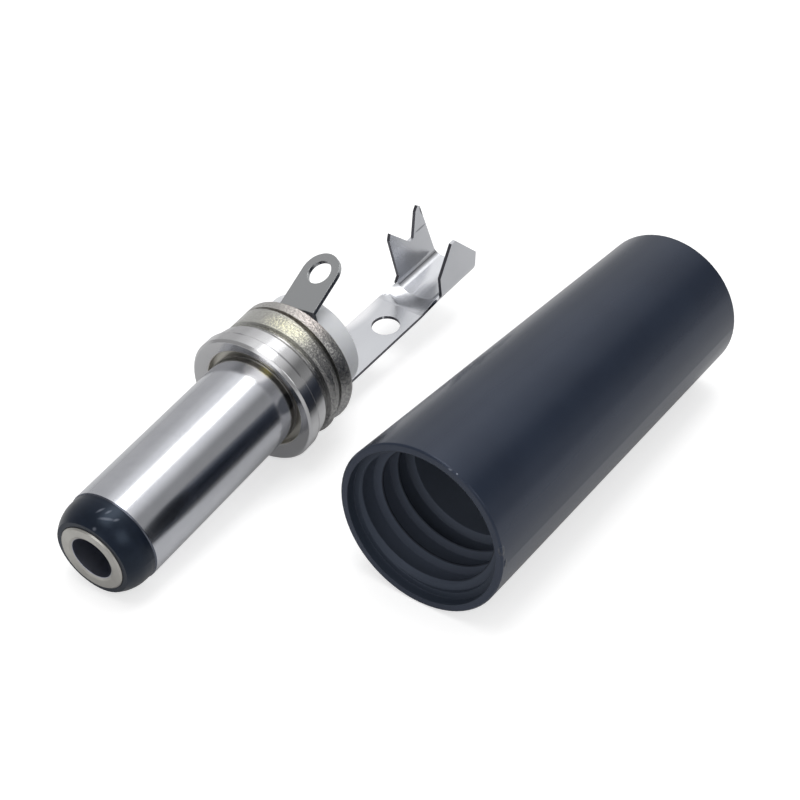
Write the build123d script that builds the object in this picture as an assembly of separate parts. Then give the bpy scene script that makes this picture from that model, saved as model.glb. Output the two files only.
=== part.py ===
from build123d import *
import math
import os

# A barrel plug for low-voltage power leads, with its screw-on cover taken off and lying
# beside it. All sizes are in millimetres.
# The plug is modelled along +Y: Y = 0 is the front edge of the metal barrel, the tail is
# towards +Y, X is to the right and Z is up. It is then laid on the ground.

# Barrel: a drawn tube whose rear end is drawn down to a shank, pressed into the body
barrel_d = 5.5
barrel_wall = 0.45
barrel_edge = 0.06
shank_d = 5.1
shank_gap = 0.24

# Threaded body: a thin collar, a tapered neck, a gap and a coarse thread, cast as one piece.
# The crest is skimmed by a cut that runs a little off centre, so it is broad and flat on
# one side and whole and sharp on the other.
collar_front = 11.67
collar_d = 7.96
collar_length = 0.78
collar_edge = 0.14
collar_dish = 0.27
recess_d = 6.18
recess_depth = 0.34
neck_step = 0.05
neck_length = 0.9
neck_rear_d = 7.5
thread_gap = 0.5
body_shoulder = 0.81
thread_d = 7.94
thread_depth = 0.52
thread_pitch = 1.4
thread_length = 1.96
thread_lead = 1.17
thread_end_chamfer = 0.2
ridge_base = 1.32
ridge_shoulder = 1.18
ridge_shoulder_depth = 0.22
ridge_crest = 0.1
skim_d = 7.66
skim_runout = 0.18
skim_side = -35.0
thread_seat = 0.1

# Centre contact: a rolled tube with a proud front lip and a riveted rear end
pin_hole_d = 2.5
contact_wall = 0.3
lip_d = 3.9
lip_length = 0.32
lip_proud = 0.12
rivet_d = 4.2
rivet_height = 0.28

# Black tip insulator: a nose in front of the barrel and a liner inside it
nose_length = 1.65
nose_step = 0.05
nose_shoulder = 0.3
nose_front_d = 4.5
liner_setback = 0.8

# White ring behind the body
ring_d = 6.18
ring_length = 1.5
ring_edge = 0.12
ring_neck_d = 4.1

# Short solder lug, clamped between the body and the white ring
lug_t = 0.25
lug_washer_d = 6.0
lug_width = 2.46
lug_root = 0.3
lug_rise = 0.26
lug_tilt = 23.0
lug_turn = 5.7
lug_cant = -18.0
lug_skew = -6.3
lug_hole_from_base = 2.54
lug_hole_d = 1.46
lug_bend = 0.3
lug_foot = 0.3

# Long tab, riveted behind the white ring: a washer, a flat strip with a wire hole, a
# dished run and two crimp wings
tab_t = 0.2
tab_washer_d = 5.0
tab_drop = 2.95
tab_width = 3.16
tab_shift = 0.23
tab_bend = 0.45
tab_yaw = 3.0
tab_hole_from_bend = 5.12
tab_hole_offset = 0.34
tab_hole_d = 1.68
flat_length = 6.9
dish_run = 1.45
dish_rise = 0.5
floor_dip = 0.15
floor_round = 3.0
channel_width = 3.0
channel_bend = 0.6
channel_shift = 0.2
wing_run = 4.0
left_splay = 6.0
right_splay = -2.0
relief_height = 0.35
relief_run = 0.3
left_front_tip = 3.75
left_rear_tip = 4.04
left_rear_tip_setback = 1.05
left_notch = 2.25
notch_from_front = 1.93
tooth_tip = 0.4
right_setback = 0.41
right_front_shoulder = 1.64
right_tip = 3.34
right_tip_setback = 1.85
right_rear_shoulder = 1.34
right_rear_relief = 0.3

# Cover: a tapered tube with a coarse inside thread and a cable hole
cover_mouth_d = 9.7
cover_rear_d = 8.58
cover_length = 25.1
mouth_edge = 0.08
rear_edge = 0.22
mouth_recess_d = 8.84
mouth_recess_depth = 0.55
thread_clearance = 0.1
crest_clearance = 0.15
cover_groove_base = 1.38
cover_groove_root = 1.0
cover_thread_turns = 4
rear_wall = 1.5
cable_hole_d = 5.2
cable_hole_edge = 0.3

# How the two pieces lie
slip = 0.02
cover_gap_x = 13.85
cover_gap_y = 7.04
cover_turn = 1.73

# Stations along the plug and shared radii, worked out from the sizes above
barrel_r = barrel_d / 2
recess_rim = collar_front + collar_dish
recess_floor = recess_rim + recess_depth
collar_rear = collar_front + collar_length
neck_rear = collar_rear + neck_length
thread_front = neck_rear + thread_gap
body_rear = thread_front + thread_length
barrel_rear = body_rear - body_shoulder
liner_rear = barrel_rear - liner_setback
lug_rear = body_rear + lug_t
ring_rear = lug_rear + ring_length
tab_rear = ring_rear + tab_t
thread_r = thread_d / 2
thread_root_r = thread_r - thread_depth
collar_r = collar_d / 2
contact_r = pin_hole_d / 2 + contact_wall


def turned(points):
    """Turn an outline of (radius, station) points about the plug's axis."""
    outline = make_face(Polyline(*points, close=True))
    return revolve(outline, axis=Axis.Y)


def helix_ridge(profile, pitch, start, run):
    """A left-handed ridge wound about the plug's axis, from (radius, width) pairs."""
    inner_r = profile[0][0]
    helix = Helix(pitch=pitch, height=run, radius=inner_r, lefthand=True)
    radial = (helix @ 0).normalized()
    across = Plane(origin=helix @ 0, x_dir=radial, z_dir=helix % 0)
    front = [(radius - inner_r, -width / 2) for radius, width in profile]
    back = [(radius - inner_r, width / 2) for radius, width in reversed(profile)]
    section = make_face(Polyline(*front, *back, close=True))
    ridge = sweep(across * section, path=helix, is_frenet=True)
    return Pos(0, start, 0) * Rot(-90, 0, 0) * ridge


def make_outer_barrel():
    inner_r = barrel_r - barrel_wall
    shank_r = shank_d / 2
    shank_front = recess_floor - shank_gap
    return turned([
        (inner_r, 0),
        (barrel_r - barrel_edge, 0),
        (barrel_r, barrel_edge),
        (barrel_r, shank_front),
        (shank_r, shank_front),
        (shank_r, barrel_rear),
        (inner_r, barrel_rear),
    ])


def make_body_core():
    """The body without its thread: a dished collar, a tapered neck and a bored core."""
    recess_r = recess_d / 2
    hole_r = shank_d / 2 + slip
    ring_hole_r = ring_neck_d / 2 + slip
    shoulder = barrel_rear + slip
    return turned([
        (hole_r, recess_floor),
        (recess_r, recess_floor),
        (recess_r, recess_rim),
        (collar_r - collar_edge, collar_front),
        (collar_r, collar_front + collar_edge),
        (collar_r, collar_rear),
        (collar_r - neck_step, collar_rear),
        (neck_rear_d / 2, neck_rear),
        (thread_root_r, neck_rear + thread_gap / 2),
        (thread_root_r, body_rear),
        (ring_hole_r, body_rear),
        (ring_hole_r, shoulder),
        (hole_r, shoulder),
    ])


def make_threaded_body():
    neck_r = ring_neck_d / 2 + slip
    skim_r = skim_d / 2
    clear_r = thread_r + thread_seat
    bevel = thread_end_chamfer + thread_seat
    ridge = helix_ridge(
        [
            (thread_root_r - thread_seat, ridge_base),
            (thread_r - ridge_shoulder_depth, ridge_shoulder),
            (thread_r, ridge_crest),
        ],
        thread_pitch,
        thread_front - thread_lead,
        thread_lead + thread_length + thread_pitch,
    )
    ends = turned([
        (neck_r, thread_front),
        (thread_r - thread_end_chamfer, thread_front),
        (clear_r, thread_front + bevel),
        (clear_r, body_rear - bevel),
        (thread_r - thread_end_chamfer, body_rear),
        (neck_r, body_rear),
    ])
    skim = turned([
        (neck_r, thread_front - thread_pitch),
        (skim_r, thread_front - thread_pitch),
        (skim_r, body_rear + thread_pitch),
        (neck_r, body_rear + thread_pitch),
    ])
    side = math.radians(skim_side)
    skim = Pos(skim_runout * math.cos(side), 0, skim_runout * math.sin(side)) * skim
    return make_body_core() + (ridge & ends & skim)


def make_tip_insulator():
    outer_r = barrel_r - barrel_wall - slip
    inner_r = contact_r + slip
    nose_r = barrel_r - nose_step
    front = -nose_length
    front_r = nose_front_d / 2
    lip_r = lip_d / 2 + slip
    lip_seat = front + lip_length - lip_proud
    shoulder = -nose_shoulder
    with BuildSketch() as half:
        with BuildLine():
            Polyline((inner_r, lip_seat), (lip_r, lip_seat), (lip_r, front), (front_r, front))
            TangentArc((nose_r, shoulder), (front_r, front), tangent=(0, -1))
            Polyline(
                (nose_r, shoulder),
                (nose_r, 0),
                (outer_r, 0),
                (outer_r, liner_rear),
                (inner_r, liner_rear),
                (inner_r, lip_seat),
            )
        make_face()
    return revolve(half.sketch, axis=Axis.Y)


def make_inner_contact():
    hole_r = pin_hole_d / 2
    lip_r = lip_d / 2
    front = -nose_length - lip_proud
    lip_back = front + lip_length
    roll = lip_length / 2
    head = tab_rear + rivet_height
    return turned([
        (hole_r, front + roll / 2),
        (hole_r + roll, front),
        (lip_r - roll / 2, front),
        (lip_r, front + roll / 2),
        (lip_r, lip_back),
        (contact_r, lip_back),
        (contact_r, tab_rear),
        (rivet_d / 2, tab_rear),
        (rivet_d / 2 - rivet_height / 2, head),
        (hole_r + contact_wall / 2, head),
        (hole_r, head - rivet_height / 2),
    ])


def make_rear_insulator():
    hole_r = contact_r + slip
    ring_r = ring_d / 2
    neck_r = ring_neck_d / 2
    return turned([
        (hole_r, liner_rear + slip),
        (neck_r, liner_rear + slip),
        (neck_r, lug_rear),
        (ring_r - ring_edge, lug_rear),
        (ring_r, lug_rear + ring_edge),
        (ring_r, ring_rear - ring_edge),
        (ring_r - ring_edge, ring_rear),
        (hole_r, ring_rear),
    ])


def washer(outer_r, hole_r, front, thickness):
    return turned([
        (hole_r, front),
        (outer_r, front),
        (outer_r, front + thickness),
        (hole_r, front + thickness),
    ])


def make_short_lug():
    """A washer whose foot bends up over the white ring, along a canted line, into an eye."""
    middle = body_rear + lug_t / 2
    corner = ring_d / 2 + lug_rise
    root = ring_neck_d / 2 + lug_root
    tilt = math.radians(lug_tilt)
    along = Vector(0, math.cos(tilt), math.sin(tilt))
    across = Vector(1, 0, 0)
    base = Vector(0, middle, corner)
    foot_end = base + along * lug_foot
    ring = washer(lug_washer_d / 2, ring_neck_d / 2 + slip, body_rear, lug_t)
    path = FilletPolyline((0, middle, root), tuple(base), tuple(foot_end), radius=lug_bend)
    foot = sweep(
        Plane(origin=path @ 0, z_dir=(0, 0, 1)) * Rectangle(lug_width, lug_t), path=path
    )
    eye_start = lug_foot / 2
    eye_run = lug_hole_from_base - eye_start
    eye = Pos(0, eye_start + eye_run / 2) * Rectangle(lug_width, eye_run)
    eye += Pos(0, lug_hole_from_base) * Circle(lug_width / 2)
    eye -= Pos(0, lug_hole_from_base) * Circle(lug_hole_d / 2)
    blade = extrude(Rot(0, 0, lug_skew) * eye, amount=lug_t / 2, both=True)
    blade = Plane(origin=base, x_dir=across, z_dir=across.cross(along)) * blade
    bent = (foot + blade).rotate(Axis(base, (0, 1, 0)), lug_cant)
    return (ring + bent).rotate(Axis.Y, lug_turn)


def tab_plane(station):
    """The upright plane across the long tab, with its origin in the strip's middle."""
    return Plane(origin=(0, station, -tab_drop), x_dir=(1, 0, 0), z_dir=(0, -1, 0))


def dished_section(station):
    half = channel_width / 2
    bowl = ThreePointArc((-half, dish_rise - floor_dip), (0, -floor_dip), (half, dish_rise - floor_dip))
    return tab_plane(station) * Pos(channel_shift, 0) * trace(bowl, tab_t)


def channel_section(station, tall):
    """The bent sheet across the crimp: a dipped floor and two leaning walls."""
    half = channel_width / 2
    left_lean = math.tan(math.radians(left_splay)) * tall
    right_lean = math.tan(math.radians(right_splay)) * tall
    bends = FilletPolyline(
        (-half - left_lean, tall),
        (-half, 0),
        (0, -floor_dip),
        (half, 0),
        (half + right_lean, tall),
        radius=[channel_bend, floor_round, channel_bend],
    )
    return tab_plane(station) * Pos(channel_shift, 0) * trace(bends, tab_t)


def side_mask(outline, reach):
    """A block through one side of the tab, from an outline of (station, height) points."""
    side = Plane(origin=(0, 0, -tab_drop), x_dir=(0, 1, 0), z_dir=(1, 0, 0))
    return extrude(side * make_face(Polyline(*outline, close=True)), reach)


def make_crimp(front):
    """The U-shaped end of the long tab, cut to its notched and its pointed wing."""
    rear = front + wing_run
    tall = left_rear_tip + tab_t
    below = -floor_dip - tab_t
    channel = extrude(channel_section(front, tall), -wing_run)
    notch = front + notch_from_front
    rear_tip = rear - left_rear_tip_setback
    left_outline = [
        (front, below),
        (front, relief_height),
        (front + relief_run, relief_height + relief_run),
        (front, left_front_tip - tooth_tip),
        (front + tooth_tip / 2, left_front_tip),
        (notch - tooth_tip / 2, left_notch),
        (notch + tooth_tip / 2, left_notch),
        (rear_tip - tooth_tip * 2 / 3, left_rear_tip - tooth_tip * 2 / 3),
        (rear_tip, left_rear_tip),
        (rear_tip + tooth_tip / 2, left_rear_tip - tooth_tip / 3),
        (rear, below),
    ]
    wing_front = front + right_setback
    right_tip_rear = rear - right_tip_setback
    right_outline = [
        (front, below),
        (front, relief_height),
        (wing_front, relief_height),
        (wing_front, right_front_shoulder),
        (right_tip_rear - tooth_tip, right_tip),
        (right_tip_rear, right_tip),
        (rear, right_rear_shoulder),
        (rear - right_rear_relief, below),
    ]
    reach = channel_width * 2
    return (channel & side_mask(left_outline, -reach)) + (channel & side_mask(right_outline, reach))


def make_long_tab():
    middle = ring_rear + tab_t / 2
    bend_end = middle + tab_bend
    flat_end = bend_end + flat_length
    crimp_front = flat_end + dish_run
    hole_middle = bend_end + tab_hole_from_bend
    section = Rectangle(tab_width, tab_t)
    ring = washer(tab_washer_d / 2, contact_r + slip, ring_rear, tab_t)
    path = FilletPolyline(
        (0, middle, -contact_r - tab_t),
        (0, middle, -tab_drop),
        (0, bend_end + tab_t, -tab_drop),
        radius=tab_bend,
    )
    foot = sweep(Plane(origin=path @ 0, z_dir=(0, 0, -1)) * section, path=path)
    strip = Pos(0, bend_end + flat_length / 2, -tab_drop) * Box(tab_width, flat_length, tab_t)
    strip -= Pos(tab_hole_offset, hole_middle, -tab_drop) * Cylinder(tab_hole_d / 2, 2 * tab_t)
    dish = loft([tab_plane(flat_end) * section, dished_section(crimp_front)])
    tail = strip + dish + make_crimp(crimp_front)
    tail = tail.rotate(Axis((0, bend_end, 0), (0, 0, 1)), -tab_yaw)
    return ring + Pos(tab_shift, 0, 0) * (foot + tail)


def make_cover():
    mouth_r = cover_mouth_d / 2
    rear_r = cover_rear_d / 2
    bore_r = thread_root_r + crest_clearance
    groove_r = thread_r + thread_clearance
    floor = cover_length - rear_wall
    thread_run = cover_thread_turns * thread_pitch
    shell = turned([
        (mouth_recess_d / 2, 0),
        (mouth_r - mouth_edge, 0),
        (mouth_r, mouth_edge),
        (rear_r + (mouth_r - rear_r) * rear_edge / cover_length, cover_length - rear_edge),
        (rear_r - rear_edge, cover_length),
        (cable_hole_d / 2 + cable_hole_edge, cover_length),
        (cable_hole_d / 2, cover_length - cable_hole_edge),
        (cable_hole_d / 2, floor),
        (bore_r, floor),
        (bore_r, mouth_recess_depth + thread_depth),
        (groove_r + slip, mouth_recess_depth),
        (mouth_recess_d / 2, mouth_recess_depth),
    ])
    groove = helix_ridge(
        [(bore_r - thread_seat, cover_groove_base), (groove_r, cover_groove_root)],
        thread_pitch,
        mouth_recess_depth - thread_pitch,
        thread_run + thread_pitch / 2,
    )
    return shell - groove


def lay_plug(piece):
    """Tip a piece of the plug until the barrel's edge and the collar touch the ground."""
    reach = collar_front + collar_edge - barrel_edge
    slope = math.atan((collar_r - barrel_r) / reach)
    lift = barrel_r * math.cos(slope) - barrel_edge * math.sin(slope)
    return Pos(0, 0, lift) * Rot(math.degrees(slope), 0, 0) * piece


def lay_cover(piece):
    """Lay the cover on its tapered side, to the right of the plug."""
    taper = math.degrees(math.atan((cover_mouth_d - cover_rear_d) / 2 / cover_length))
    lift = cover_mouth_d / 2 * math.cos(math.radians(taper))
    return Pos(cover_gap_x, cover_gap_y, lift) * Rot(0, 0, -cover_turn) * Rot(-taper, 0, 0) * piece


def make_all():
    plug = {
        "outer_barrel": make_outer_barrel(),
        "threaded_body": make_threaded_body(),
        "tip_insulator": make_tip_insulator(),
        "inner_contact": make_inner_contact(),
        "rear_insulator": make_rear_insulator(),
        "short_lug": make_short_lug(),
        "long_tab": make_long_tab(),
    }
    pieces = {name: lay_plug(piece) for name, piece in plug.items()}
    pieces["cover"] = lay_cover(make_cover())
    boxes = [piece.bounding_box() for piece in pieces.values()]
    mid_x = (min(box.min.X for box in boxes) + max(box.max.X for box in boxes)) / 2
    mid_y = (min(box.min.Y for box in boxes) + max(box.max.Y for box in boxes)) / 2
    low_z = min(box.min.Z for box in boxes)
    return {name: Pos(-mid_x, -mid_y, -low_z) * piece for name, piece in pieces.items()}


os.makedirs("parts", exist_ok=True)
for name, piece in make_all().items():
    export_step(piece, f"parts/{name}.step")
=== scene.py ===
import math

import bpy
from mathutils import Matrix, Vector


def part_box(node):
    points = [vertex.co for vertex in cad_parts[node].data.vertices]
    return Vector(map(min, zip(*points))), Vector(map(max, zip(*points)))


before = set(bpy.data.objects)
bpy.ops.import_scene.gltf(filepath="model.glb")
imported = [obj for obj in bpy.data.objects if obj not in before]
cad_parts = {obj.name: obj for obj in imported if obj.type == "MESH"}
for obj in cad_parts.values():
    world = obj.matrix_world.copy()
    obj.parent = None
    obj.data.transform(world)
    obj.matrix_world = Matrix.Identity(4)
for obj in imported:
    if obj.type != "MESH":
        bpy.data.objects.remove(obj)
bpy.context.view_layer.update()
mm = 0.001
print("frame loaded:", ", ".join(sorted(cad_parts)))


def boxOf(name):
    low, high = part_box(name)
    return Vector(low), Vector(high)


# Where the plug lies: its axis runs back and a little up from the middle of its front rim.
barrelLow, barrelHigh = boxOf("outer_barrel")
plug = {
    "pitch": math.radians(5.976),
    "frontInset": 0.280 * mm,
    "frontHeight": 2.7306 * mm,
}
plug["front"] = Vector((
    (barrelLow.x + barrelHigh.x) / 2,
    barrelLow.y + plug["frontInset"],
    plug["frontHeight"],
))
plugTurn = (plug["pitch"], 0, 0)

# The cover lies on its tapered side; its place is the middle of the mouth.
coverLow, coverHigh = boxOf("cover")
cover = {
    "turn": math.radians(-1.73),
    "taper": math.radians(-1.2779),
    "mouthRadius": 4.85 * mm,
    "mouthInset": 0.11 * mm,
}
cover["mouth"] = Vector((
    coverLow.x + cover["mouthRadius"],
    coverLow.y + cover["mouthInset"],
    cover["mouthRadius"],
))
coverTurn = (cover["taper"], 0, cover["turn"])


# Small helpers for materials
def newMaterial(name):
    material = bpy.data.materials.new(name)
    material.use_nodes = True
    nodes = material.node_tree.nodes
    nodes.clear()
    output = nodes.new("ShaderNodeOutputMaterial")
    shader = nodes.new("ShaderNodeBsdfPrincipled")
    material.node_tree.links.new(shader.outputs["BSDF"], output.inputs["Surface"])
    return material, shader


def setShader(shader, values):
    for socket, value in values.items():
        shader.inputs[socket].default_value = value


def addNode(material, kind, **settings):
    node = material.node_tree.nodes.new(kind)
    for key, value in settings.items():
        setattr(node, key, value)
    return node


def join(material, source, target):
    material.node_tree.links.new(source, target)


def pattern(material, scale, place, turn):
    # object coordinates, moved and turned onto the piece, then stretched
    coords = addNode(material, "ShaderNodeTexCoord")
    setting = addNode(material, "ShaderNodeMapping", vector_type="TEXTURE")
    setting.inputs["Location"].default_value = place
    setting.inputs["Rotation"].default_value = turn
    join(material, coords.outputs["Object"], setting.inputs["Vector"])
    stretch = addNode(material, "ShaderNodeMapping", vector_type="POINT")
    stretch.inputs["Scale"].default_value = scale
    join(material, setting.outputs["Vector"], stretch.inputs["Vector"])
    return stretch.outputs["Vector"]


def plugPattern(material, scale=(1, 1, 1)):
    return pattern(material, scale, plug["front"], plugTurn)


def coverPattern(material, scale=(1, 1, 1)):
    return pattern(material, scale, cover["mouth"], coverTurn)


def axesOf(material, vector):
    split = addNode(material, "ShaderNodeSeparateXYZ")
    join(material, vector, split.inputs["Vector"])
    return split.outputs


def lengthOf(material, vector):
    reach = addNode(material, "ShaderNodeVectorMath", operation="LENGTH")
    join(material, vector, reach.inputs[0])
    return reach.outputs["Value"]


def noise(material, vector, scale, detail, roughness):
    node = addNode(material, "ShaderNodeTexNoise")
    node.inputs["Scale"].default_value = scale
    node.inputs["Detail"].default_value = detail
    node.inputs["Roughness"].default_value = roughness
    join(material, vector, node.inputs["Vector"])
    return node.outputs["Fac"]


def ramp(material, factor, stops, smooth=True):
    node = addNode(material, "ShaderNodeValToRGB")
    node.color_ramp.interpolation = "EASE" if smooth else "LINEAR"
    elements = node.color_ramp.elements
    while len(elements) < len(stops):
        elements.new(0.5)
    for element, (position, colour) in zip(elements, stops):
        element.position = position
        shade = colour if isinstance(colour, tuple) else (colour, colour, colour)
        element.color = (*shade, 1)
    join(material, factor, node.inputs["Fac"])
    return node.outputs["Color"]


mottleEdges = (0.3, 0.7)  # share of the noise at which the dark and the light shade are full


def mottled(material, factor, look):
    # the piece's two shades, mixed by a noise
    return ramp(material, factor, list(zip(mottleEdges, (look["dark"], look["light"]))))


def mixColour(material, factor, first, second):
    node = addNode(material, "ShaderNodeMix", data_type="RGBA", blend_type="MIX")
    slots = [s for s in node.inputs if s.enabled]
    for socket, value in zip(slots, (factor, first, second)):
        if isinstance(value, tuple):
            socket.default_value = (*value, 1)
        else:
            join(material, value, socket)
    return [s for s in node.outputs if s.enabled][0]


def maths(material, operation, *values, clamp=False):
    node = addNode(material, "ShaderNodeMath", operation=operation)
    node.use_clamp = clamp
    for socket, value in zip(node.inputs, values):
        if isinstance(value, (int, float)):
            socket.default_value = value
        else:
            join(material, value, socket)
    return node.outputs["Value"]


def times(material, first, second):
    return maths(material, "MULTIPLY", first, second)


def scaled(material, value, factor, offset):
    return maths(material, "MULTIPLY_ADD", value, factor, offset)


# how far the ramps over a distance reach, in millimetres
spans = {"along": 20, "across": 10, "mouth": 10, "fromAxis": 5}


def rampOver(material, distance, span, stops, smooth=True, offset=0):
    # a ramp over a distance, with its span and stops in millimetres
    share = scaled(material, distance, 1 / (span * mm), offset / span)
    places = [((place + offset) / span, value) for place, value in stops]
    return ramp(material, share, places, smooth)


def bump(material, shader, heights, edge):
    # relief in millimetres, over edges softened by the same measure
    soft = addNode(material, "ShaderNodeBevel", samples=4)
    soft.inputs["Radius"].default_value = edge * mm
    normal = soft.outputs["Normal"]
    for height, strength, distance in heights:
        node = addNode(material, "ShaderNodeBump")
        node.inputs["Strength"].default_value = strength
        node.inputs["Distance"].default_value = distance * mm
        join(material, height, node.inputs["Height"])
        join(material, normal, node.inputs["Normal"])
        normal = node.outputs["Normal"]
    join(material, normal, shader.inputs["Normal"])


def fade(material, value, first, last):
    # a smooth step from one pair of place and result to another
    node = addNode(material, "ShaderNodeMapRange", interpolation_type="SMOOTHSTEP")
    for socket, limit in zip(("From Min", "To Min", "From Max", "To Max"), (*first, *last)):
        node.inputs[socket].default_value = limit
    join(material, value, node.inputs["Value"])
    return node.outputs["Result"]


def blob(material, vector, centre, size, turn=(0, 0, 0), soft=0.5):
    # a soft patch, 1 inside and 0 outside, with its centre and half sizes in millimetres
    setting = addNode(material, "ShaderNodeMapping", vector_type="TEXTURE")
    setting.inputs["Location"].default_value = [value * mm for value in centre]
    setting.inputs["Rotation"].default_value = turn
    setting.inputs["Scale"].default_value = [value * mm for value in size]
    join(material, vector, setting.inputs["Vector"])
    reach = lengthOf(material, setting.outputs["Vector"])
    return fade(material, reach, (1 - soft, 1), (1, 0))


def streak(material, vector, first, last, width, deep, soft=0.5, up="X"):
    # a soft line between two places; the named axis of its section points upwards
    run = Vector(last) - Vector(first)
    middle = (Vector(last) + Vector(first)) / 2
    turn = run.to_track_quat("Y", up).to_euler()
    return blob(material, vector, middle, (deep, run.length / 2, width), turn, soft)


def anyOf(material, masks):
    total = masks[0]
    for mask in masks[1:]:
        total = maths(material, "MAXIMUM", total, mask)
    return total


def dress(nodeName, material):
    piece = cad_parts[nodeName]
    piece.data.materials.clear()
    piece.data.materials.append(material)


# Barrel and centre contact: brushed nickel. Two patches at the barrel's rear end are painted
# light:
# a painted highlight and a painted dark reflection band carry its highlight and its dark band
# on to the recess.
satinFinish = {
    "brush": {"scale": 9000, "detail": 3, "roughness": 0.6},
    "brushStretch": (1, 0.012, 1),
    "mottle": {"scale": 900, "detail": 4, "roughness": 0.6},
    "patchSoftness": 0.4,
    "brushDepth": 0.01,
    "edge": 0.03,
}
barrelMetal = {
    "name": "satinNickel",
    "light": (0.555, 0.565, 0.60),
    "dark": (0.525, 0.535, 0.57),
    "roughness": 0.15,
    "grain": 0.05,
    "bumpiness": 0.04,
    "patches": [
        # a painted highlight, then a painted dark reflection band: each a colour, a centre and
        # half sizes
        ((0.95, 0.95, 0.97), ((0.85, 11.62, 2.62), (0.95, 1.00, 0.60))),
        ((0.17, 0.18, 0.21), ((2.54, 11.66, 1.05), (0.50, 1.05, 0.66))),
    ],
    # painted shade: a thin dark line along the barrel's front rim
    "rim": (0.12, 0.13, 0.16),
    "rimLength": 0.09 * mm,
}
contactMetal = {
    "name": "contactNickel",
    "light": (0.50, 0.49, 0.46),
    "dark": (0.42, 0.41, 0.385),
    "roughness": 0.3,
    "grain": 0.08,
    "bumpiness": 0.12,
    "patches": [],
    # a painted bluish reflection that lifts the bore's shade
    "bore": (0.48, 0.50, 0.58),
    "boreReach": 1.27 * mm,
}


def makeSatinNickel(look):
    material, shader = newMaterial(look["name"])
    place = plugPattern(material)
    brushed = plugPattern(material, satinFinish["brushStretch"])
    brush = noise(material, brushed, **satinFinish["brush"])
    mottle = noise(material, place, **satinFinish["mottle"])
    tint = mottled(material, mottle, look)
    # each patch paints a highlight or a dark reflection band into the colour
    for colour, patch in look["patches"]:
        paintedPatch = blob(material, place, *patch, soft=satinFinish["patchSoftness"])
        tint = mixColour(material, paintedPatch, tint, colour)
    # painted shade of the front rim's edge, as a thin dark line
    if "rim" in look:
        atRim = maths(material, "LESS_THAN", axesOf(material, place)["Y"], look["rimLength"])
        tint = mixColour(material, atRim, tint, look["rim"])
    # painted reflection: a bluish tint inside the bore lifts its shade
    if "bore" in look:
        reach = lengthOf(material, plugPattern(material, (1, 0, 1)))
        inBore = maths(material, "LESS_THAN", reach, look["boreReach"])
        tint = mixColour(material, inBore, tint, look["bore"])
    join(material, tint, shader.inputs["Base Color"])
    rough = scaled(material, brush, look["grain"], look["roughness"])
    join(material, rough, shader.inputs["Roughness"])
    setShader(shader, {"Metallic": 1})
    relief = (brush, look["bumpiness"], satinFinish["brushDepth"])
    bump(material, shader, [relief], satinFinish["edge"])
    return material


# Threaded body: smooth collar and neck, a recess lightened and warmed as painted light with a
# painted glow, and a grainy thread whose front band is yellowish and whose rear band is
# reddish. Painted shade: a dark line along the collar's rear rim, and the thread's right-hand
# side; painted light: the thread's left-hand side, and sheen highlights on its bands. Stations,
# reaches and places across are in millimetres.
bodyMetal = {
    "plain": (0.56, 0.56, 0.57),
    "front": (0.44, 0.435, 0.38),
    "rear": (0.42, 0.385, 0.37),
    "side": (0.20, 0.20, 0.21),
    "litLeftSide": (0.56, 0.56, 0.545),
    "litLeftShare": 0.65,
    "threadFrom": (13.68, 13.84),
    "rearBandFrom": (14.96, 15.16),
    "shadedSideFrom": (1.583, 3.0),
    "litLeftUpTo": (-1.667, 0.667),
    "grain": {"scale": 8800, "detail": 4, "roughness": 0.7},
    "speck": (0.80, 0.79, 0.74),
    "speckEdges": [(0.42, 0), (0.58, 1)],
    "speckShare": 0.36,
    "blotch": {"scale": 1300, "detail": 3, "roughness": 0.6},
    "blotchColour": (0.26, 0.255, 0.24),
    "blotchShare": 0.4,
    "paintedSheen": [
        ((0.78, 0.75, 0.50), ((1.15, 14.35, 3.75), (2.3, 0.80, 1.1))),
        ((0.62, 0.55, 0.52), ((1.70, 15.55, 3.50), (1.8, 0.65, 1.1))),
    ],
    "sheenSoftness": 0.9,
    "sheenOnSpecks": 0.5,
    "sheenBetween": 0.1,
    "recess": (0.60, 0.58, 0.53),
    "recessReach": (3.11, 3.16),
    "paintedGlow": (0.95, 0.88, 0.52),
    "glowAt": ((1.35, 12.15, 2.85), (0.85, 0.5, 0.55)),
    "glowSoftness": 0.9,
    "wornLine": (12.38, 12.43, 12.47, 12.52),
    "worn": (0.12, 0.12, 0.13),
    "wornSpots": {"scale": 500, "detail": 2, "roughness": 0.5},
    "wornEdges": [(0.45, 0), (0.55, 0.8)],
    "lathe": {"scale": 9000, "detail": 2, "roughness": 0.6},
    "latheStretch": (0.05, 1, 0.05),
    "roughness": 0.17,
    "castRoughness": 0.06,
    "recessRoughness": 0.3,
    "neckFrom": 12.45,
    "neckRun": 1,
    "neckLift": 0.16,
    "latheBumpiness": 0.05,
    "latheDepth": 0.01,
    "grainDepth": 0.035,
    "edge": 0.06,
}


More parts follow.
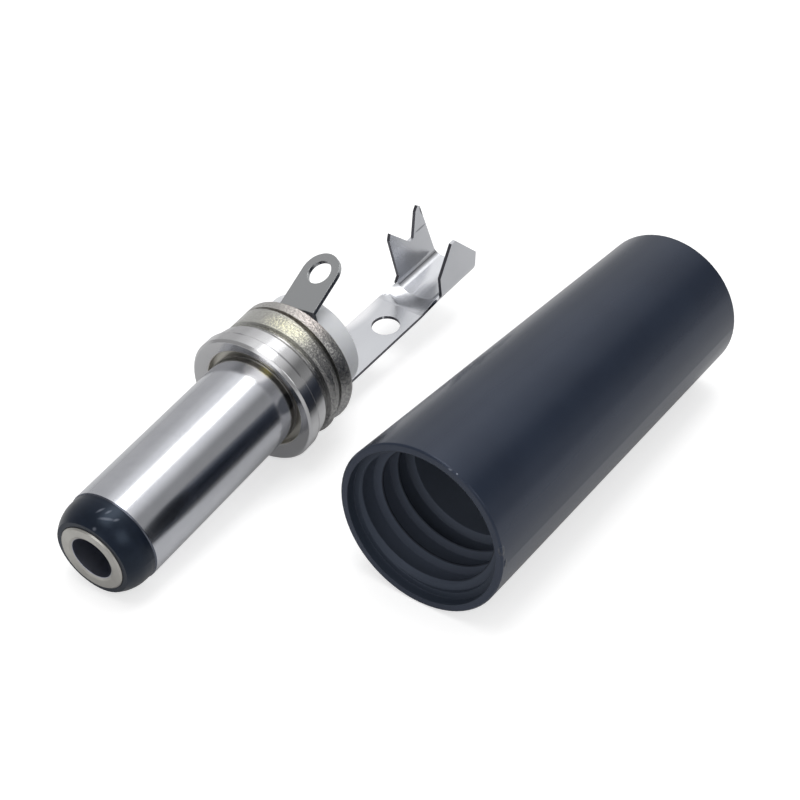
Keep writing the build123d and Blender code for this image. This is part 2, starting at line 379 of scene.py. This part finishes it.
def threadTint(material, place, axes, grain):
    look = bodyMetal
    first, last = look["rearBandFrom"]
    rearBand = rampOver(material, axes["Y"], spans["along"], [(first, 0), (last, 1)], False)
    tint = mixColour(material, rearBand, look["front"], look["rear"])
    # painted shade: the thread's right-hand side is darkened
    first, last = look["shadedSideFrom"]
    side = rampOver(material, axes["X"], spans["across"], [(first, 0), (last, 1)])
    tint = mixColour(material, side, tint, look["side"])
    blotches = noise(material, place, **look["blotch"])
    share = times(material, blotches, look["blotchShare"])
    tint = mixColour(material, share, tint, look["blotchColour"])
    specks = ramp(material, grain, look["speckEdges"])
    tint = mixColour(material, times(material, specks, look["speckShare"]), tint, look["speck"])
    # painted light: the thread's left-hand side is lightened
    first, last = look["litLeftUpTo"]
    left = rampOver(
        material, axes["X"], spans["across"], [(first, 1), (last, 0)],
        offset=spans["across"] / 2,
    )
    tint = mixColour(material, times(material, left, look["litLeftShare"]), tint, look["litLeftSide"])
    # painted highlights: a yellowish sheen on the front band and a reddish one on the rear
    # band, broken by the specks
    for colour, patch in look["paintedSheen"]:
        area = blob(material, place, *patch, soft=look["sheenSoftness"])
        share = scaled(material, specks, look["sheenOnSpecks"], look["sheenBetween"])
        glint = times(material, area, share)
        tint = mixColour(material, glint, tint, colour)
    return tint


def collarTint(material, place, axes, inRecess):
    look = bodyMetal
    # painted light: the recess is lightened and warmed, and a painted yellow glow lies in it
    tint = mixColour(material, inRecess, look["plain"], look["recess"])
    paintedGlow = blob(material, place, *look["glowAt"], soft=look["glowSoftness"])
    tint = mixColour(material, times(material, paintedGlow, inRecess), tint, look["paintedGlow"])
    # painted shade: a dark line along the collar's rear rim, broken into spots by a noise
    stops = list(zip(look["wornLine"], (0, 1, 1, 0)))
    line = rampOver(material, axes["Y"], spans["along"], stops, False)
    spots = noise(material, place, **look["wornSpots"])
    worn = times(material, line, ramp(material, spots, look["wornEdges"]))
    return mixColour(material, worn, tint, look["worn"])


def makeTurnedNickel():
    look = bodyMetal
    material, shader = newMaterial("turnedNickel")
    place = plugPattern(material)
    axes = axesOf(material, place)
    first, last = look["threadFrom"]
    onThread = rampOver(material, axes["Y"], spans["along"], [(first, 0), (last, 1)], False)
    first, last = look["recessReach"]
    reach = lengthOf(material, plugPattern(material, (1, 0, 1)))
    inRecess = rampOver(material, reach, spans["fromAxis"], [(first, 1), (last, 0)], False)
    grain = noise(material, place, **look["grain"])
    lathe = noise(material, plugPattern(material, look["latheStretch"]), **look["lathe"])
    collar = collarTint(material, place, axes, inRecess)
    thread = threadTint(material, place, axes, grain)
    join(material, mixColour(material, onThread, collar, thread), shader.inputs["Base Color"])
    rough = scaled(material, onThread, look["castRoughness"], look["roughness"])
    dull = times(material, inRecess, look["recessRoughness"])
    join(material, maths(material, "ADD", rough, dull), shader.inputs["Roughness"])
    setShader(shader, {"Metallic": 1})
    # the shading alone rounds the hollow between the collar and the neck
    neck = rampOver(
        material, axes["Y"], look["neckRun"],
        [(look["neckFrom"], 0), (look["neckFrom"] + look["neckRun"], 1)],
        False, offset=-look["neckFrom"],
    )
    bump(material, shader, [
        (neck, 1, look["neckLift"]),
        (lathe, look["latheBumpiness"], look["latheDepth"]),
        (times(material, grain, onThread), 1, look["grainDepth"]),
    ], look["edge"])
    return material


# Stamped sheet: the lug and the long tab. Their sheared edges are duller cut metal with painted
# shade. The lug is painted darker than the tab as painted shade. The tab has a painted
# highlight along a run beside its hole, a crease painted as a dark line of shade, and a smudge
# on its notched wing.
sheetMetal = {
    "brush": {"scale": 7000, "detail": 3, "roughness": 0.6},
    "brushStretch": (1, 0.02, 1),
    "brushDepth": 0.01,
    "bumpiness": 0.02,
    "roughness": 0.2,
    "grain": 0.05,
    "shadedCutEdge": (0.10, 0.10, 0.115),
    "facing": 0.75,
    "stripTop": -2.7 * mm,
}
# painted shade: the lug is the tab's sheet with a darker colour
shadedLugMetal = {"colour": (0.47, 0.48, 0.49), "edge": 0.04}
tabMetal = {
    "light": (0.63, 0.64, 0.67),
    "dark": (0.58, 0.59, 0.62),
    "mottle": {"scale": 350, "detail": 3, "roughness": 0.5},
    "highlightColour": (0.90, 0.90, 0.92),
    "highlightRun": ((-1.6, 20.4, -2.9), (-1.1, 25.8, -2.9)),
    "highlightWidth": 1.05,
    "highlightSoftness": 0.6,
    "creaseShade": ((-0.75, 28.75, -0.45), (-0.75, 30.05, -0.45)),
    "creaseShadeWidth": 0.09,
    "creaseShadeShare": 0.55,
    "smudge": ((-0.75, 29.64, 1.05), (-0.75, 29.92, 0.10)),
    "smudgeWidth": 0.16,
    "markDepth": 1.2,
    "edge": 0.03,
}


def shadedCutEdges(material, place):
    # the sheared edges that face forwards, and the strip's right-hand one: picked by facing, so
    # their dark colour is painted shade on duller cut metal
    coords = addNode(material, "ShaderNodeTexCoord")
    facing = axesOf(material, coords.outputs["Normal"])
    forwards = maths(material, "LESS_THAN", facing["Y"], -sheetMetal["facing"])
    rightwards = maths(material, "GREATER_THAN", facing["X"], sheetMetal["facing"])
    low = maths(material, "LESS_THAN", axesOf(material, place)["Z"], sheetMetal["stripTop"])
    return anyOf(material, [forwards, times(material, rightwards, low)])


def finishSheet(material, shader, tint, edge):
    brushed = plugPattern(material, sheetMetal["brushStretch"])
    brush = noise(material, brushed, **sheetMetal["brush"])
    join(material, tint, shader.inputs["Base Color"])
    rough = scaled(material, brush, sheetMetal["grain"], sheetMetal["roughness"])
    join(material, rough, shader.inputs["Roughness"])
    setShader(shader, {"Metallic": 1})
    relief = (brush, sheetMetal["bumpiness"], sheetMetal["brushDepth"])
    bump(material, shader, [relief], edge)
    return material


def makeTabNickel():
    look = tabMetal
    material, shader = newMaterial("tabNickel")
    place = plugPattern(material)
    deep = look["markDepth"]
    tint = mottled(material, noise(material, place, **look["mottle"]), look)
    # painted highlight: a pale run along the strip beside its hole
    highlightRun = streak(
        material, place, *look["highlightRun"], look["highlightWidth"], deep, look["highlightSoftness"],
    )
    tint = mixColour(material, highlightRun, tint, look["highlightColour"])
    # painted shade: a dark line where the wing is creased
    creaseShade = streak(material, place, *look["creaseShade"], look["creaseShadeWidth"], deep, up="Z")
    # darkened: the painted shade of the crease and the cut edges, and the smudge
    worn = anyOf(material, [
        times(material, creaseShade, look["creaseShadeShare"]),
        streak(material, place, *look["smudge"], look["smudgeWidth"], deep, up="Z"),
        shadedCutEdges(material, place),
    ])
    tint = mixColour(material, worn, tint, sheetMetal["shadedCutEdge"])
    return finishSheet(material, shader, tint, look["edge"])


def makeLugNickel():
    material, shader = newMaterial("lugNickel")
    edges = shadedCutEdges(material, plugPattern(material))
    tint = mixColour(material, edges, shadedLugMetal["colour"], sheetMetal["shadedCutEdge"])
    return finishSheet(material, shader, tint, shadedLugMetal["edge"])


# Nose: black plastic with a few pale scuffs on top, whose pale colour is a painted highlight
# broken by the scuffs; each from, to and half width
tipPlastic = {
    "light": (0.006, 0.009, 0.018),
    "dark": (0.004, 0.006, 0.012),
    "soft": {"scale": 1500, "detail": 3, "roughness": 0.5},
    "roughness": 0.24,
    "unevenness": 0.12,
    "scuffHighlight": (0.32, 0.34, 0.40),
    "scuffHighlightShare": 0.32,
    "scuffHighlightDepth": 0.4,
    "scuffHighlightSoftness": 0.9,
    "scuffHighlights": [
        ((0.10, -0.95, 2.64), (0.42, -0.34, 2.67), 0.09),
        ((0.32, -1.12, 2.58), (1.25, -0.60, 2.37), 0.11),
        ((0.55, -0.75, 2.62), (0.75, -0.25, 2.60), 0.09),
        ((1.05, -0.80, 2.42), (1.31, -0.40, 2.36), 0.09),
        ((0.40, -1.56, 2.38), (0.70, -1.52, 2.32), 0.12),
    ],
    "shader": {"Specular IOR Level": 0.35, "Specular Tint": (0.62, 0.78, 1, 1)},
    "bumpiness": 0.08,
    "bumpDepth": 0.05,
    "edge": 0.06,
}


def makeTipPlastic():
    look = tipPlastic
    material, shader = newMaterial("tipPlastic")
    place = plugPattern(material)
    soft = noise(material, place, **look["soft"])
    scuffHighlights = anyOf(material, [
        streak(material, place, *scuffHighlight, look["scuffHighlightDepth"], look["scuffHighlightSoftness"])
        for scuffHighlight in look["scuffHighlights"]
    ])
    share = times(material, scuffHighlights, look["scuffHighlightShare"])
    tint = mixColour(material, share, mottled(material, soft, look), look["scuffHighlight"])
    join(material, tint, shader.inputs["Base Color"])
    rough = scaled(material, soft, look["unevenness"], look["roughness"])
    join(material, rough, shader.inputs["Roughness"])
    setShader(shader, look["shader"])
    bump(material, shader, [(soft, look["bumpiness"], look["bumpDepth"])], look["edge"])
    return material


# Ring behind the body: white nylon that lets a little light in
ringPlastic = {
    "light": (0.80, 0.815, 0.84),
    "dark": (0.77, 0.785, 0.815),
    "soft": {"scale": 500, "detail": 3, "roughness": 0.5},
    "shader": {
        "Roughness": 0.36,
        "Subsurface Weight": 0.35,
        "Subsurface Radius": (0.5, 0.5, 0.55),
        "Subsurface Scale": 1 * mm,
    },
    "bumpiness": 0.05,
    "bumpDepth": 0.05,
    "edge": 0.06,
}


def makeRingPlastic():
    look = ringPlastic
    material, shader = newMaterial("whiteNylon")
    soft = noise(material, plugPattern(material), **look["soft"])
    join(material, mottled(material, soft, look), shader.inputs["Base Color"])
    setShader(shader, look["shader"])
    bump(material, shader, [(soft, look["bumpiness"], look["bumpDepth"])], look["edge"])
    return material


# Cover: black plastic. Inside, the colour gets paler with depth, a painted light that lifts the
# shade deep inside, but not on the thread's ridges. Nicks and burrs, each a centre and half
# sizes, sit on the mouth's edge.
# Each relief is a strength and a depth.
coverPlastic = {
    "light": (0.016, 0.023, 0.040),
    "dark": (0.013, 0.019, 0.034),
    "soft": {"scale": 260, "detail": 3, "roughness": 0.5},
    "fine": {"scale": 5000, "detail": 2, "roughness": 0.6},
    "paintedDepthLight": [
        (0.4, (0.020, 0.027, 0.040)),
        (2.8, (0.085, 0.100, 0.135)),
        (7.0, (0.150, 0.175, 0.225)),
    ],
    "ridge": (0.014, 0.018, 0.026),
    "ridgeReach": 3.66 * mm,
    "ridgesUpTo": (3.0, 4.8),
    "insideReach": 4.46 * mm,
    "insideTaper": 0.0088,
    "insideLength": 23.7 * mm,
    "roughness": 0.19,
    "unevenness": 0.06,
    "insideRoughness": 0.35,
    "nick": (0.20, 0.22, 0.26),
    "nicks": [
        ((1.70, 0.06, 4.56), (0.22, 0.10, 0.12)),
        ((2.02, 0.14, 4.42), (0.08, 0.06, 0.08)),
    ],
    "burrs": [
        ((4.78, 0.14, 1.00), (0.30, 0.22, 0.36)),
        ((4.85, 0.34, 0.10), (0.30, 0.16, 0.30)),
    ],
    "nickSoftness": 0.7,
    "burrSoftness": 0.8,
    "shader": {"Specular IOR Level": 0.55, "Specular Tint": (0.74, 0.81, 1, 1)},
    "softRelief": (0.05, 0.1),
    "fineRelief": (0.03, 0.02),
    "nickRelief": (0.6, -0.05),
    "burrRelief": (0.8, 0.12),
    "edge": 0.08,
}


def insidePaintedLight(material, axes, reach):
    look = coverPlastic
    # painted light: paler with depth, except on the ridges near the mouth
    tint = rampOver(material, axes["Y"], spans["along"], look["paintedDepthLight"], False)
    onRidge = maths(material, "LESS_THAN", reach, look["ridgeReach"])
    first, last = look["ridgesUpTo"]
    near = rampOver(material, axes["Y"], spans["mouth"], [(first, 1), (last, 0)])
    return mixColour(material, times(material, onRidge, near), tint, look["ridge"])


def makeCoverPlastic():
    look = coverPlastic
    material, shader = newMaterial("blackCover")
    place = coverPattern(material)
    axes = axesOf(material, place)
    soft = noise(material, place, **look["soft"])
    fine = noise(material, place, **look["fine"])
    reach = lengthOf(material, coverPattern(material, (1, 0, 1)))
    wall = scaled(material, axes["Y"], look["insideTaper"], reach)
    within = times(
        material,
        maths(material, "LESS_THAN", wall, look["insideReach"]),
        maths(material, "LESS_THAN", axes["Y"], look["insideLength"]),
    )
    nicks = anyOf(material, [
        blob(material, place, *nick, soft=look["nickSoftness"]) for nick in look["nicks"]
    ])
    burrs = anyOf(material, [
        blob(material, place, *burr, soft=look["burrSoftness"]) for burr in look["burrs"]
    ])
    tint = mottled(material, soft, look)
    tint = mixColour(material, within, tint, insidePaintedLight(material, axes, reach))
    tint = mixColour(material, nicks, tint, look["nick"])
    join(material, tint, shader.inputs["Base Color"])
    rough = scaled(material, fine, look["unevenness"], look["roughness"])
    rough = scaled(material, within, look["insideRoughness"], rough)
    join(material, rough, shader.inputs["Roughness"])
    setShader(shader, look["shader"])
    bump(material, shader, [
        (soft, *look["softRelief"]),
        (fine, *look["fineRelief"]),
        (nicks, *look["nickRelief"]),
        (burrs, *look["burrRelief"]),
    ], look["edge"])
    return material


dress("outer_barrel", makeSatinNickel(barrelMetal))
dress("inner_contact", makeSatinNickel(contactMetal))
dress("threaded_body", makeTurnedNickel())
dress("short_lug", makeLugNickel())
dress("long_tab", makeTabNickel())
dress("tip_insulator", makeTipPlastic())
dress("rear_insulator", makeRingPlastic())
dress("cover", makeCoverPlastic())
print("CAD pieces have their materials")


# Floor, world, lamps and camera. The floor and the backdrop look white to the camera and
# through clear things. A mirrored floor is lifted by a share of that, and a mirrored
# backdrop is the grey tent, so that metal keeps its bands.
stageLight = {
    "floorSize": 1.2,
    "floorDrop": 0.02 * mm,
    "floorColour": 0.62,
    "floorLift": 0.62,
    "mirroredLift": 0.2,
    "world": 0.42,
    "backdrop": 1,
}
# The tent's patches: a bright roof, two pale ones at the back left, a bright front and a
# darker opening at the back right. Outer and inner are angles in degrees.
tentPatches = [
    {"toward": (0.05, 0.44, 0.90), "outer": 38, "inner": 8, "strength": 0.7},
    {"toward": (-0.75, 0.45, 0.45), "outer": 45, "inner": 18, "strength": 0.2},
    {"toward": (-0.42, 0.66, 0.62), "outer": 22, "inner": 6, "strength": 0.25},
    {"toward": (0.0, -0.90, 0.43), "outer": 24, "inner": 8, "strength": 1.3},
    {"toward": (0.35, 0.80, 0.50), "outer": 31, "inner": 12, "strength": -0.24},
]
lamps = {
    "overhead": {
        "place": (-0.004, 0.014, 0.19),
        "target": (-0.004, 0.014, 0),
        "width": 0.08,
        "long": 0.20,
        "power": 0.13,
    },
    "fill": {
        "place": (0.16, -0.06, 0.14),
        "target": (0, 0, 0.003),
        "width": 0.10,
        "long": 0.10,
        "power": 0.06,
    },
}
# The photograph's camera. Right and inFront are millimetres from the barrel's front rim,
# height is millimetres from the ground.
cameraLook = {
    "lens": 87.55,
    "sensor": 36,
    "clip": (0.005, 10),
    "right": 52.7906,
    "inFront": 53.2035,
    "height": 68.171,
    "elevation": 37.6367,
    "azimuth": 33.6415,
}


def makeFloor():
    half = stageLight["floorSize"] / 2
    mesh = bpy.data.meshes.new("floor")
    corners = [(-half, -half), (half, -half), (half, half), (-half, half)]
    mesh.from_pydata([(x, y, -stageLight["floorDrop"]) for x, y in corners], [], [(0, 1, 2, 3)])
    floor = bpy.data.objects.new("floor", mesh)
    bpy.context.scene.collection.objects.link(floor)
    material = bpy.data.materials.new("paleFloor")
    material.use_nodes = True
    material.node_tree.nodes.clear()
    output = addNode(material, "ShaderNodeOutputMaterial")
    plain = addNode(material, "ShaderNodeBsdfDiffuse")
    plain.inputs["Color"].default_value = (*[stageLight["floorColour"]] * 3, 1)
    lift = addNode(material, "ShaderNodeEmission")
    path = addNode(material, "ShaderNodeLightPath").outputs
    mirrored = times(material, path["Is Glossy Ray"], stageLight["mirroredLift"])
    seen = maths(material, "ADD", path["Is Camera Ray"], mirrored)
    seen = maths(material, "ADD", seen, path["Is Transmission Ray"], clamp=True)
    join(material, times(material, seen, stageLight["floorLift"]), lift.inputs["Strength"])
    both = addNode(material, "ShaderNodeAddShader")
    join(material, plain.outputs["BSDF"], both.inputs[0])
    join(material, lift.outputs["Emission"], both.inputs[1])
    join(material, both.outputs["Shader"], output.inputs["Surface"])
    mesh.materials.append(material)


def tentLight(world):
    # the plain tent, with each patch faded in around its direction
    coords = addNode(world, "ShaderNodeTexCoord")
    total = stageLight["world"]
    for patch in tentPatches:
        dot = addNode(world, "ShaderNodeVectorMath", operation="DOT_PRODUCT")
        dot.inputs[1].default_value = Vector(patch["toward"]).normalized()
        join(world, coords.outputs["Generated"], dot.inputs[0])
        outer = (math.cos(math.radians(patch["outer"])), 0)
        inner = (math.cos(math.radians(patch["inner"])), patch["strength"])
        light = fade(world, dot.outputs["Value"], outer, inner)
        total = maths(world, "ADD", total, light)
    return total


def makeWorld():
    world = bpy.data.worlds.new("studio")
    world.use_nodes = True
    world.node_tree.nodes.clear()
    output = addNode(world, "ShaderNodeOutputWorld")
    room = addNode(world, "ShaderNodeBackground")
    room.inputs["Color"].default_value = (1, 1, 1, 1)
    join(world, tentLight(world), room.inputs["Strength"])
    backdrop = addNode(world, "ShaderNodeBackground")
    backdrop.inputs["Color"].default_value = (1, 1, 1, 1)
    backdrop.inputs["Strength"].default_value = stageLight["backdrop"]
    path = addNode(world, "ShaderNodeLightPath").outputs
    mix = addNode(world, "ShaderNodeMixShader")
    seen = maths(world, "ADD", path["Is Camera Ray"], path["Is Transmission Ray"])
    join(world, seen, mix.inputs["Fac"])
    join(world, room.outputs["Background"], mix.inputs[1])
    join(world, backdrop.outputs["Background"], mix.inputs[2])
    join(world, mix.outputs["Shader"], output.inputs["Surface"])
    bpy.context.scene.world = world


def addLamp(name, look):
    light = bpy.data.lights.new(name, "AREA")
    light.shape = "RECTANGLE"
    light.size = look["width"]
    light.size_y = look["long"]
    light.energy = look["power"]
    lamp = bpy.data.objects.new(name, light)
    lamp.location = look["place"]
    aim = Vector(look["target"]) - Vector(look["place"])
    lamp.rotation_euler = aim.to_track_quat("-Z", "Y").to_euler()
    bpy.context.scene.collection.objects.link(lamp)


def makeCamera():
    look = cameraLook
    camera = bpy.data.cameras.new("photoCamera")
    camera.lens = look["lens"]
    camera.sensor_width = look["sensor"]
    camera.clip_start, camera.clip_end = look["clip"]
    view = bpy.data.objects.new("photoCamera", camera)
    view.location = (
        plug["front"].x + look["right"] * mm,
        plug["front"].y - look["inFront"] * mm,
        look["height"] * mm,
    )
    tilt = math.radians(90 - look["elevation"])
    view.rotation_euler = (tilt, 0, math.radians(look["azimuth"]))
    bpy.context.scene.collection.objects.link(view)
    bpy.context.scene.camera = view


makeFloor()
makeWorld()
for name, look in lamps.items():
    addLamp(name, look)
makeCamera()
bpy.context.scene.view_settings.view_transform = "Standard"
print("floor, lamps and camera are set")
